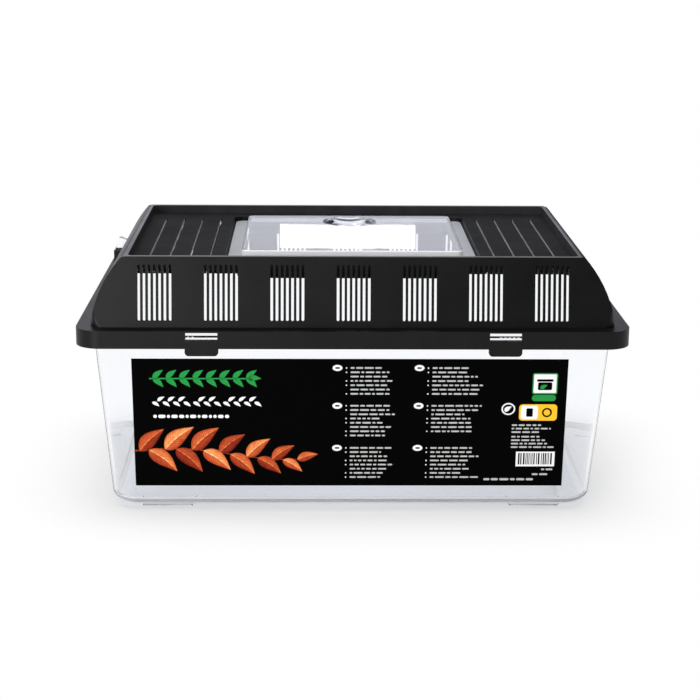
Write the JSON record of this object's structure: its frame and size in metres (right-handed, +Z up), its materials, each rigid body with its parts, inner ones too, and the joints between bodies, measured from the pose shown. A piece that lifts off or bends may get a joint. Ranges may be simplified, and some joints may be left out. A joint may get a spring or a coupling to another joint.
{
  "type": "plastic pet keeper",
  "caption": "Clear tapered plastic pet keeper under a black vented lid with snap tabs, a clear hinged hatch and flip clips at its rear corners.",
  "frame": {"origin": "on the surface the feet stand on, under the middle of the tank", "axes": "+X along the tank's length, to the right seen from the labelled front, +Y from the front to the back, +Z up"},
  "size_m": [0.3, 0.2, 0.146],
  "materials": {
    "clear_plastic": "clear and polished, with a faint blue cast in its edges",
    "black_plastic": "black, finely textured from the mould",
    "label_paper": "printed sheet with a satin face"
  },
  "bodies": {
    "tank": {"tank": "clear_plastic", "front_label": "label_paper"},
    "lid": {"lid": "black_plastic", "hatch_hinge_pin_left": "black_plastic", "hatch_hinge_pin_right": "black_plastic", "clip_pin_left": "black_plastic", "clip_pin_right": "black_plastic"},
    "snap_tab_front_left": {"snap_tab_front_left": "black_plastic"},
    "snap_tab_front_right": {"snap_tab_front_right": "black_plastic"},
    "snap_tab_rear_left": {"snap_tab_rear_left": "black_plastic"},
    "snap_tab_rear_right": {"snap_tab_rear_right": "black_plastic"},
    "hatch": {"hatch_door": "clear_plastic"},
    "corner_clip_left": {"corner_clip_left": "clear_plastic"},
    "corner_clip_right": {"corner_clip_right": "clear_plastic"}
  },
  "joints": [
    {"name": "lid_lift", "type": "slide", "parent": "tank", "child": "lid", "axis": [0, 0, 1], "range_m": [0, 0.06]},
    {"name": "snap_tab_front_left_flex", "type": "hinge", "parent": "lid", "child": "snap_tab_front_left", "pos_m": [-0.0816, -0.099, 0.103], "axis": [-1, 0, 0], "range_deg": [0, 12], "stiffness_Nm_per_rad": 0.05},
    {"name": "snap_tab_front_right_flex", "type": "hinge", "parent": "lid", "child": "snap_tab_front_right", "pos_m": [0.0816, -0.099, 0.103], "axis": [-1, 0, 0], "range_deg": [0, 12], "stiffness_Nm_per_rad": 0.05},
    {"name": "snap_tab_rear_left_flex", "type": "hinge", "parent": "lid", "child": "snap_tab_rear_left", "pos_m": [-0.0816, 0.099, 0.103], "axis": [1, 0, 0], "range_deg": [0, 12], "stiffness_Nm_per_rad": 0.05},
    {"name": "snap_tab_rear_right_flex", "type": "hinge", "parent": "lid", "child": "snap_tab_rear_right", "pos_m": [0.0816, 0.099, 0.103], "axis": [1, 0, 0], "range_deg": [0, 12], "stiffness_Nm_per_rad": 0.05},
    {"name": "hatch_hinge", "type": "hinge", "parent": "lid", "child": "hatch", "pos_m": [0, -0.0673, 0.1391], "axis": [1, 0, 0], "range_deg": [0, 105]},
    {"name": "corner_clip_left_pivot", "type": "hinge", "parent": "lid", "child": "corner_clip_left", "pos_m": [-0.1455, 0.0945, 0.1122], "axis": [0, -1, 0], "range_deg": [0, 100]},
    {"name": "corner_clip_right_pivot", "type": "hinge", "parent": "lid", "child": "corner_clip_right", "pos_m": [0.1455, 0.0945, 0.1122], "axis": [0, 1, 0], "range_deg": [0, 116]}
  ]
}
